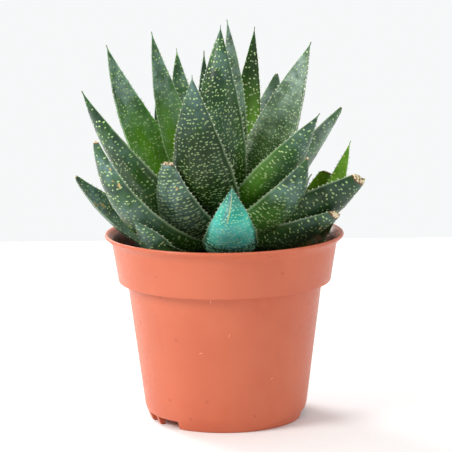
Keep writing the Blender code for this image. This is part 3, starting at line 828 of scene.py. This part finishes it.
def scars(plan, draw):
    # each scar is a few low crusts that overlap
    rows = []
    for share, across, side, size in plan["scars"]:
        for _ in range(scarPlan["crusts"]):
            along, aside = draw.uniform(-scarPlan["spread"], scarPlan["spread"], 2) * size
            length, breadth = size * draw.uniform(0.35, 0.7), size * draw.uniform(0.3, 0.5)
            turn = draw.uniform(0, math.pi)
            place = (share + along / plan["length"], across + aside / plan["width"])
            rows.append((*place, length, breadth, turn, side))
    return domes(plan, np.array(rows), np.full(len(rows), markPlan["rise"] * scarPlan["rise"]))


toothFaces = np.array([(0, 1, 4), (1, 2, 4), (2, 3, 4), (3, 0, 4), (0, 3, 2), (0, 2, 1)])


def teeth(plan):
    # the corners of small pointed teeth along both margins, leaning to the tip
    draw = random.Random(plan["name"] + "teeth")
    made = []
    for side in (-1.0, 1.0):
        place = plan["length"] * toothPlan["first"]
        while place < plan["length"] * toothPlan["lastWithAwn" if plan["awn"] else "last"]:
            share = place / plan["length"]
            full = float(min(1.0, widthShare(1 - share * (1 - plan["dried"])) * 3))
            long = toothPlan["length"] * draw.uniform(*toothPlan["lengths"]) * (0.5 + 0.5 * full)
            high = toothPlan["height"] * draw.uniform(*toothPlan["heights"]) * (0.45 + 0.55 * full)
            reach = long / 2 / plan["length"]
            first, last = leafPoints(plan, np.array([share - reach, share + reach]), side, 1.0)
            middle, inner = leafPoints(plan, share, np.array([side, side * 0.6]), 1.0)
            out, along = unit(middle - inner), unit(last - first)
            thick = np.cross(out, along) * toothPlan["thickness"] / 2
            back = out * toothPlan["sink"] * 2
            tip = middle + out * high + along * long * toothPlan["lean"]
            root = middle - back * 0.4
            made.append([first - back, root + thick, last - back, root - thick, tip])
            place += toothPlan["step"] * draw.uniform(*toothPlan["steps"]) * (0.75 + 0.25 * full)
    return made


def readArray(items, name, width, kind=np.float32):
    values = np.empty(len(items) * width, kind)
    items.foreach_get(name, values)
    return values


def padded(values, size):
    full = np.zeros(size, np.float32)
    full[:len(values)] = values
    return full


def joinDressing(piece, plan, groups, materials, markShares):
    # joins the groups, which are marks, teeth and scars as points and triangles, to the leaf's own mesh
    mesh = piece.data
    uv = readArray(mesh.uv_layers["leafMap"].data, "uv", 2)
    tint = readArray(mesh.color_attributes["leafTint"].data, "color", 4)
    skin = (readArray(mesh.vertices, "co", 3).reshape(-1, 3) / mm,
            readArray(mesh.loops, "vertex_index", 1, np.int32).reshape(-1, 3))
    points, faces = joinBodies([skin] + groups)
    shade = np.concatenate([footShade(plan, uv[1::2]), footShade(plan, markShares).repeat(domeFaces.size)])
    made = bpy.data.meshes.new(piece.name)
    made.from_pydata((points * mm).tolist(), [], faces.tolist())
    made.uv_layers.new(name="leafMap").data.foreach_set("uv", padded(uv, faces.size * 2))
    tints = made.color_attributes.new("leafTint", "FLOAT_COLOR", "CORNER")
    tints.data.foreach_set("color", padded(tint, faces.size * 4))
    made.attributes.new("leafShade", "FLOAT", "CORNER").data.foreach_set("value", padded(shade, faces.size))
    for material in materials:
        made.materials.append(material)
    slots = [np.full(len(body[1]), number, np.int32) for number, body in enumerate([skin] + groups)]
    made.polygons.foreach_set("material_index", np.concatenate(slots))
    made.shade_smooth()
    made.set_sharp_from_angle(angle=math.radians(leafMesh["sharpAngle"]))
    made.update()
    piece.data = made


def carvedLeaf(plan, rooms):
    # the leaf without what would be in the way of the leaves before it
    own = surfaceTree(*roomBody(plan, leafMesh["testStations"]))
    near = [other for other in rooms if own.overlap(surfaceTree(*other))]
    for careful in (False, True):  # a cut that comes back empty is made again, slower
        piece = skinnedLeaf(plan)
        if near:
            cutAway(piece, near, careful)
        if len(piece.data.vertices):
            break
        print("cut again:", plan["name"])
        bpy.data.objects.remove(piece, do_unlink=True)
    keepPieceAt(piece, leafPoints(plan, np.array([1.0]), 0.0, 1.0)[0])
    return piece


def dressLeaf(piece, plan, materials):
    # marks, teeth and scars, only where the skin is still there after the cuts
    skin = piece.data
    corners = [vert.co.copy() for vert in skin.vertices]
    left = BVHTree.FromPolygons(corners, [tuple(face.vertices) for face in skin.polygons])

    def kept(point, within):
        found = left.find_nearest(Vector(point) * mm)
        return found[3] is not None and found[3] < within * mm

    rows = markRows(plan)
    where = leafPoints(plan, rows[:, 0], rows[:, 1], rows[:, 5])
    rows = rows[[kept(point, markPlan["reach"]) for point in where]]
    draw = np.random.default_rng(len(plan["name"]) + int(plan["azimuth"]) + markPlan["seedShift"])
    rise = markPlan["rise"] * draw.uniform(*markPlan["rises"], len(rows))
    groups = [domes(plan, rows, rise)]
    stay = [tooth for tooth in teeth(plan) if kept(tooth[1], toothPlan["reach"])]
    horn, hornFaces = joinBodies([(tooth, toothFaces) for tooth in stay])
    groups.append((horn, outwardFaces(horn, hornFaces, len(toothFaces))))
    if plan["scars"]:
        groups.append(scars(plan, draw))
    joinDressing(piece, plan, groups, materials[:1 + len(groups)], rows[:, 0])


def buildLeaves():
    skinMade = {kind: leafSkin(kind) for kind in skins}
    marksMade = {kind: markFlesh(kind) for kind in markColours}
    toothHorn = dryLook("toothHorn", 0.55, (228, 232, 212), (196, 200, 160))
    corkScar = dryLook("corkScar", 0.55, (200, 182, 120), (118, 90, 46))
    rooms = []
    stemRoom = turnedBody(stemProfile(leafMesh["gap"]), stemPlan["roomSides"], stemPlan["x"], stemPlan["y"])
    total = 0
    for plan in leaves:
        track(plan)
        piece = carvedLeaf(plan, rooms + [stemRoom])
        rooms.append(roomBody(plan, leafMesh["roomStations"], leafMesh["gap"]))
        dressLeaf(piece, plan, [skinMade[plan["skin"]], marksMade[plan["skin"]], toothHorn, corkScar])
        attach(piece, "root")
        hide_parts(plan["name"])
        total += len(piece.data.polygons)
    print("leaves:", len(leaves), "triangles:", total)


# Stem

stemPlan = {"x": 2.0, "y": 2.0, "radius": 6.0, "foot": 62.0, "flare": 5.0, "shoulder": 105.3, "top": 107.8,
            "sides": 40, "roomSides": 20, "scarStep": 2.2, "ridge": 0.16, "end": 0.62,
            "green": (92, 104, 44), "brown": (96, 70, 36)}


def stemProfile(grow=0.0):
    plan = stemPlan
    radius = plan["radius"] + grow
    top = plan["top"] + grow
    low = plan["foot"] - grow
    return [(0, low), (radius * 0.6, low), (radius, plan["foot"] + plan["flare"]), (radius, plan["shoulder"]),
            (radius * plan["end"], top - 1.5), (radius * 0.3, top), (0, top)]


def buildStem():
    # low ridges ring the stem where each leaf joins it
    plan = stemPlan
    profile = [(0, plan["foot"]), (plan["radius"] * 0.6, plan["foot"])]
    height = plan["foot"] + plan["flare"]
    while height < plan["shoulder"]:
        swell = plan["ridge"] * math.sin(height / plan["scarStep"] * 2 * math.pi)
        profile.append((plan["radius"] - 0.2 + swell, height))
        height += plan["scarStep"] / 8
    profile += [(plan["radius"] * plan["end"], plan["top"] - 1.5), (plan["radius"] * 0.3, plan["top"] - 0.1),
                (0, plan["top"])]
    body = turnedBody(profile, plan["sides"], plan["x"], plan["y"],
                      lambda angle, height: 0.1 * np.sin(3 * angle + height))
    piece = meshObject("stem_of_rosette", *body)
    surfaced(piece, dryLook("stemFlesh", 0.6, plan["green"], plan["brown"], pattern=(240, 4, 0.35, 0.65),
                            polish=(900, 0.5, 0.75), bumps=(700, 3, 0.15)))
    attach(piece, "root")
    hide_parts("stem")
    print("stem:", len(piece.data.polygons), "triangles")


# Pot

potPlan = {
    "sides": 176, "height": 94.0, "lip": 60.0, "bandTop": 56.4, "bandDrop": 5.6, "bandFoot": 53.4,
    "bandFootHeight": 69.8, "wallTop": 49.0, "wallFoot": 41.0, "wallFootHeight": 7.0, "foot": 38.2,
    "wall": 1.3, "innerDrop": 5.4, "disc": 21.0, "rise": 3.2, "ringInner": 36.2,
    "notchHeight": 4.3, "notchInner": 33.5, "notchSpare": 2.0, "notchSteps": 8,
    "notches": ((-47.0, 10.5), (-65.5, 5.5), (86.0, 15.0), (196.0, 15.0)),  # middle and half width as angles
    "cornerSteps": 4, "sharpAngle": 35,
    "colour": (192, 94, 62), "light": (204, 110, 77), "dark": (150, 66, 44), "innerDark": (70, 36, 24),
    "innerDarkening": (71.0, 72.0),  # the height from which the inside of the wall is darker
    # small burrs from handling: azimuth, height, length and tilt
    "burrs": ((2.2, 50.6, 2.0, 70), (-15.5, 41.5, 2.2, 20), (-8.2, 68.2, 2.4, 84), (-22.5, 69.2, 1.2, 10),
              (31, 27, 1.6, 50)),
    "burrSteps": 6, "burrSides": 6, "burrEnd": 0.03, "burrThick": 0.13, "burrLift": 0.02,
}


def roundedProfile(corners):
    # corners are radius, height and how much of the corner is rounded off
    made = [corners[0][:2]]
    for before, corner, after in zip(corners, corners[1:], corners[2:]):
        here = np.array(corner[:2], float)
        toBefore = np.array(before[:2], float) - here
        toAfter = np.array(after[:2], float) - here
        size = min(corner[2], 0.45 * np.linalg.norm(toBefore), 0.45 * np.linalg.norm(toAfter))
        first = here + unit(toBefore) * size
        last = here + unit(toAfter) * size
        for step in range(potPlan["cornerSteps"] + 1):
            t = step / potPlan["cornerSteps"]
            made.append(tuple(first * (1 - t) ** 2 + here * 2 * t * (1 - t) + last * t * t))
    made.append(corners[-1][:2])
    return made


def potCorners():
    p = potPlan
    band, wall, rise, top, bandFoot = p["bandTop"], p["wall"], p["rise"], p["height"], p["bandFootHeight"]
    disc, ring, foot, lip = p["disc"], p["ringInner"], p["foot"], p["lip"]
    return [
        (0, 0.0, 0), (disc, 0.0, 0.4), (disc + 1.2, rise, 0.5), (ring - 0.3, rise, 0.5),
        (ring, 0.0, 0.3), (foot, 0.0, 0.4), (foot + 0.6, 0.7, 0.4),
        (foot + 2.2, p["wallFootHeight"] - 2, 1.2), (p["wallFoot"], p["wallFootHeight"], 0.25),
        (p["wallTop"], bandFoot, 0.5), (p["bandFoot"], bandFoot + 0.1, 0.45),
        (band - 0.1, top - p["bandDrop"], 1.2), (band + 0.9, top - 3.8, 0.9), (lip - 0.7, top - 2.1, 0.7),
        (lip, top - 1.2, 0.6), (lip - 0.5, top, 0.6), (lip - 2.2, top - 0.6, 0.8),
        (band - wall + 0.6, top - 3.3, 0.9), (band - wall - 0.1, top - p["innerDrop"], 0.9),
        (p["bandFoot"] - wall, bandFoot + wall + 0.3, 0.4), (p["wallTop"] - wall, bandFoot + wall, 0.4),
        (p["wallFoot"] - wall, p["wallFootHeight"] + 0.6, 1.0), (ring - 0.4, rise + wall, 0.6),
        (disc + 0.4, rise + wall, 0.4), (disc - 0.9, wall, 0.4), (0, wall, 0),
    ]


def outAt(angle):
    return np.array((math.sin(angle), -math.cos(angle), 0))


def notchCutters():
    p = potPlan
    low, high = np.array((0, 0, -p["notchSpare"])), np.array((0, 0, p["notchHeight"]))
    cutters = []
    for middle, half in p["notches"]:
        rings = []
        for degrees in np.linspace(middle - half, middle + half, p["notchSteps"]):
            out = outAt(math.radians(degrees))
            inner, outer = out * p["notchInner"], out * (p["wallFoot"] + p["notchSpare"])
            rings.append([inner + low, inner + high, outer + high, outer + low])
        cutters.append(closedRings(np.array(rings)))
    return cutters


def wallRadius(height):
    p = potPlan
    if height > p["bandFootHeight"]:
        share = (height - p["bandFootHeight"]) / (p["height"] - p["bandDrop"] - p["bandFootHeight"])
        return p["bandFoot"] + (p["bandTop"] - p["bandFoot"]) * share
    share = (height - p["wallFootHeight"]) / (p["bandFootHeight"] - p["wallFootHeight"])
    return p["wallFoot"] + (p["wallTop"] - p["wallFoot"]) * share


def burrBodies():
    p = potPlan
    bodies = []
    for azimuth, height, length, tilt in p["burrs"]:
        path, outs, thick = [], [], []
        for step in range(p["burrSteps"] + 1):
            t = step / p["burrSteps"] - 0.5
            bend = 0.25 * t * t * length
            rise = height + t * length * math.sin(math.radians(tilt)) + bend * 0.4
            aside = t * length * math.cos(math.radians(tilt)) + bend
            turn = math.radians(azimuth) + aside / wallRadius(height)
            radius = wallRadius(rise) + p["burrLift"]
            outs.append(outAt(turn))
            path.append(outs[-1] * radius + (0, 0, rise))
            thick.append([p["burrThick"] * (1 - (2 * t) ** 2) + p["burrEnd"]])
        path, outs, thick = np.array(path), np.array(outs), np.array(thick)
        side = np.cross(unit(np.gradient(path, axis=0)), outs)
        bodies.append(tube(path, outs * thick, side * thick, p["burrSides"]))
    return bodies


def potPlastic():
    p = potPlan
    made, n = newMaterial("potPlastic", 0.4, **{"Specular IOR Level": 0.45, "Subsurface Weight": 0.06,
                                                "Subsurface Scale": 0.003})
    body, light, dark = tone(*p["colour"]), tone(*p["light"]), tone(*p["dark"])
    cloud = n.noise(26, 4)
    grain = n.noise(1600, 2)
    drawn = n.noise(240, 2, stretch=(1, 1, 0.06))  # faint lines from the mould, running up the wall
    colour = n.mix(n.spread(cloud, 0.3, 0.7, 0.0, 0.55), body, light)
    colour = n.mix(n.spread(drawn, 0.55, 0.8, 0.0, 0.16), colour, light)
    x, y, z = n.axes(n.place)
    radius = n.sums("SQRT", n.sums("ADD", n.sums("MULTIPLY", x, x), n.sums("MULTIPLY", y, y)))
    slope = (p["bandTop"] - p["bandFoot"]) / (p["height"] - p["bandDrop"] - p["bandFootHeight"])
    outer = n.sums("MULTIPLY_ADD", z, slope, (p["bandFoot"] - p["bandFootHeight"] * slope) * mm)
    # the inside of the wall is darker from that height up to the lip, in uneven patches
    inside = n.spread(n.sums("SUBTRACT", outer, radius), 0.5 * mm, 0.9 * mm)
    inside = n.sums("MULTIPLY", inside, n.spread(z, p["innerDarkening"][0] * mm, p["innerDarkening"][1] * mm))
    innerDarkening = n.sums("MULTIPLY", inside, n.grain(160, 4, 0.3, 0.6, 0.45, 0.85))
    colour = n.mix(innerDarkening, colour, tone(*p["innerDark"]))
    n.feed("Base Color", n.mix(n.spread(n.cells(95), 0.07, 0.1, 0.35, 0.0), colour, dark))
    n.feed("Roughness", n.spread(n.sums("ADD", cloud, n.noise(420, 3)), 0.7, 1.3, 0.34, 0.5))
    n.feed("Normal", n.bump(n.sums("ADD", grain, drawn), 0.035, n.bump(n.noise(60, 3), 0.12)))
    return made


def buildPot():
    piece = meshObject("pot_shell", *turnedBody(roundedProfile(potCorners()), potPlan["sides"]))
    cutAway(piece, notchCutters())
    keepPieceAt(piece, (potPlan["lip"], 0, potPlan["height"]))
    surfaced(piece, potPlastic(), potPlan["sharpAngle"])
    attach(piece, "root")
    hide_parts("pot")
    burr = meshObject("pot_burrs", *joinBodies(burrBodies()))
    surfaced(burr, dryLook("scuffedPlastic", 0.55, (244, 176, 150), (232, 150, 120)))
    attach(burr, "root")
    print("pot:", len(piece.data.polygons) + len(burr.data.polygons), "triangles")


# Soil

soilPlan = {
    "height": 83.2, "rings": 46, "sides": 150, "bump": 0.8, "waves": (0.09, 0.16, 0.31, 0.52, 0.9, 1.4),
    "seed": 7, "gap": 0.4, "pit": 0.8, "sharpAngle": 50,
    "dark": (38, 26, 18), "brown": (74, 52, 36), "fleck": (140, 112, 78),
}
crumbPlan = {"seed": 21, "count": 1500, "size": (0.5, 1.7), "smallness": 2.5, "raised": 0.15, "room": 0.9,
             "wide": (0.7, 1.25), "high": (0.5, 0.9), "dents": 0.2, "sharpAngle": 40}
strawPlan = {"seed": 5, "count": 46, "tries": 4000, "length": (4.0, 13.0), "steps": 8, "sides": 5,
             "thick": (0.14, 0.34), "flat": (1.4, 0.7), "bend": 0.08, "raised": 0.35, "arch": 0.5,
             "room": 0.5, "light": (190, 158, 108), "dark": (112, 84, 50)}


def soilEdge():
    p = potPlan
    share = (soilPlan["height"] - p["bandFootHeight"]) / (p["height"] - p["innerDrop"] - p["bandFootHeight"])
    return p["bandFoot"] - p["wall"] - 0.75 + (p["bandTop"] - p["bandFoot"]) * share


def soilHeight(x, y):
    # a few seeded waves stand for the lumps left by watering
    draw = random.Random(soilPlan["seed"])
    height = soilPlan["height"]
    widest = soilPlan["waves"][0]
    for size in soilPlan["waves"]:
        turn = draw.uniform(0, math.pi)
        wave = size * (x * math.cos(turn) + y * math.sin(turn))
        other = size * 1.3 * (y * math.cos(turn) - x * math.sin(turn))
        depth = soilPlan["bump"] * 0.42 * (widest / size) ** 0.45
        height = height + depth * np.sin(wave + turn * 9) * np.sin(other + turn * 5)
    return height


def soilBody():
    p, gap = potPlan, soilPlan["gap"]
    wall, floor = p["wall"], p["rise"] + p["wall"] + gap
    band = p["bandFootHeight"] + wall + gap
    profile = [(p["disc"] - 0.9 - gap, wall + gap), (p["disc"] + 0.4, floor), (p["ringInner"] - 0.6, floor),
               (p["wallFoot"] - wall - gap, p["wallFootHeight"] + 0.9), (p["wallTop"] - wall - gap, band),
               (p["bandFoot"] - wall - gap - 0.3, band + 0.3)]
    angle = np.arange(soilPlan["sides"]) / soilPlan["sides"] * 2 * np.pi
    rings = [np.stack([r * np.cos(angle), r * np.sin(angle), np.full(len(angle), h)], 1) for r, h in profile]
    for ring in range(soilPlan["rings"]):
        radius = soilEdge() * (1 - ring / soilPlan["rings"]) ** 0.85
        x, y = radius * np.cos(angle), radius * np.sin(angle)
        height = soilHeight(x, y) if ring else np.full(len(angle), soilPlan["height"] - 0.5)
        rings.append(np.stack([x, y, height], 1))
    points, faces = closedRings(np.array(rings))
    points[-2] = (0, 0, wall + gap)
    points[-1] = (0, 0, soilHeight(0.0, 0.0))
    return points, faces


def soilLook():
    made, n = newMaterial("soilCrumb", 0.9)
    colour = n.mix(n.grain(210, 5, 0.36, 0.66), tone(*soilPlan["dark"]), tone(*soilPlan["brown"]))
    n.feed("Base Color", n.mix(n.grain(1500, 2, 0.66, 0.74), colour, tone(*soilPlan["fleck"])))
    n.polish(600, 0.75, 0.98)
    n.feed("Normal", n.bump(n.noise(900, 4), 0.5, n.bump(n.cells(520), 0.6)))
    return made


def buildSoil():
    points, faces = soilBody()
    soil = meshObject("soil_bed", points, faces)
    tree = surfaceTree(points, faces)
    pits = [roomBody(plan, leafMesh["pitStations"], soilPlan["pit"]) for plan in leaves]
    pits.append(turnedBody(stemProfile(soilPlan["gap"]), stemPlan["roomSides"], stemPlan["x"], stemPlan["y"]))
    pits = [pit for pit in pits if tree.overlap(surfaceTree(*pit))]
    cutAway(soil, pits)
    keepPieceAt(soil, (0, 0, potPlan["wall"] + soilPlan["gap"]))
    look = soilLook()
    surfaced(soil, look, soilPlan["sharpAngle"])
    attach(soil, "root")
    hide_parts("soil")
    taken = [surfaceTree(*pit) for pit in pits]
    scatterCrumbs(look, taken)
    scatterStraws(taken)
    print("soil:", len(soil.data.polygons), "triangles")


def isFree(trees, point, room):
    for tree in trees:
        place, normal, _, far = tree.find_nearest(Vector(point))
        if place is None:
            continue
        if far < room or (Vector(point) - place).dot(normal) < 0:
            return False
    return True


def scatterCrumbs(look, taken):
    plan = crumbPlan
    draw = random.Random(plan["seed"])
    least, most = plan["size"]
    ball = bmesh.new()
    bmesh.ops.create_icosphere(ball, subdivisions=1, radius=1.0)
    shape = np.array([tuple(v.co) for v in ball.verts])
    shapeFaces = np.array([[v.index for v in f.verts] for f in ball.faces])
    ball.free()
    bodies = []
    while len(bodies) < plan["count"]:
        turn, far = draw.uniform(0, 2 * math.pi), math.sqrt(draw.random()) * (soilEdge() - 0.8)
        size = least + (most - least) * draw.random() ** plan["smallness"]
        x, y = far * math.cos(turn), far * math.sin(turn)
        if far + size > soilEdge() - 0.2:
            continue
        z = float(soilHeight(x, y)) + size * plan["raised"]
        if not isFree(taken, (x, y, z), size * plan["room"]):
            continue
        stretch = np.array([draw.uniform(*plan[name]) for name in ("wide", "wide", "high")]) * size
        rough = 1 + np.array([draw.uniform(-plan["dents"], plan["dents"]) for _ in shape])[:, None]
        c, s = math.cos(turn * 7), math.sin(turn * 7)
        wide, deep, high = (shape * rough * stretch).T
        bodies.append((np.stack([wide * c - deep * s, wide * s + deep * c, high], 1) + (x, y, z), shapeFaces))
    crumbs = meshObject("soil_crumbs", *joinBodies(bodies))
    surfaced(crumbs, look, plan["sharpAngle"])
    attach(crumbs, "root")
    print("crumbs:", len(crumbs.data.polygons), "triangles")


def scatterStraws(taken):
    plan = strawPlan
    draw = random.Random(plan["seed"])
    steps = plan["steps"]
    bodies = []
    tries = 0
    while len(bodies) < plan["count"] and tries < plan["tries"]:
        tries += 1
        turn, far = draw.uniform(0, 2 * math.pi), math.sqrt(draw.random()) * (soilEdge() - 2)
        heading, bend = draw.uniform(0, 2 * math.pi), draw.uniform(-plan["bend"], plan["bend"])
        length = draw.uniform(*plan["length"])
        x, y = far * math.cos(turn), far * math.sin(turn)
        path = []
        for step in range(steps + 1):
            arch = plan["arch"] * math.sin(math.pi * step / steps)
            path.append((x, y, float(soilHeight(x, y)) + plan["raised"] + arch))
            x += math.cos(heading + bend * step) * length / steps
            y += math.sin(heading + bend * step) * length / steps
        inside = all(math.hypot(px, py) < soilEdge() - 0.8 for px, py, _ in path)
        if not inside or not all(isFree(taken, point, plan["room"]) for point in path):
            continue
        path = np.array(path)
        thick = draw.uniform(*plan["thick"])
        ahead = unit(np.gradient(path, axis=0))
        side = unit(np.cross(ahead, (0, 0, 1.0)))
        wide, high = plan["flat"]
        bodies.append(tube(path, side * wide * thick, np.cross(side, ahead) * high * thick, plan["sides"]))
    straws = meshObject("soil_straws", *joinBodies(bodies))
    surfaced(straws, dryLook("strawDry", 0.6, plan["light"], plan["dark"], pattern=(300, 3, 0.35, 0.65),
                             polish=(1100, 0.5, 0.75), bumps=(1400, 2, 0.08)))
    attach(straws, "root")
    print("straws:", len(bodies))


# Floor

floorPlan = {"backEdge": 506.0, "reach": 2200.0, "colour": (244, 244, 243), "soft": 0.965,
             "grainHeight": 0.10}


def buildFloor():
    reach, back = floorPlan["reach"], floorPlan["backEdge"]
    points = [(-reach, -reach, 0), (reach, -reach, 0), (reach, back, 0), (-reach, back, 0)]
    floor = meshObject("floor", points, [(0, 1, 2, 3)])
    made, n = newMaterial("paleCloth", 0.85)
    light = tone(*floorPlan["colour"])
    n.feed("Base Color", n.mix(n.grain(900, 2, 0.35, 0.65), dimmed(light, floorPlan["soft"]), light))
    n.feed("Normal", n.bump(n.noise(1100, 2), floorPlan["grainHeight"]))
    floor.data.materials.append(made)


setCamera()
setLights()
buildFloor()
print("stage: camera, lights and floor set")
buildPot()
buildStem()
buildLeaves()
buildSoil()
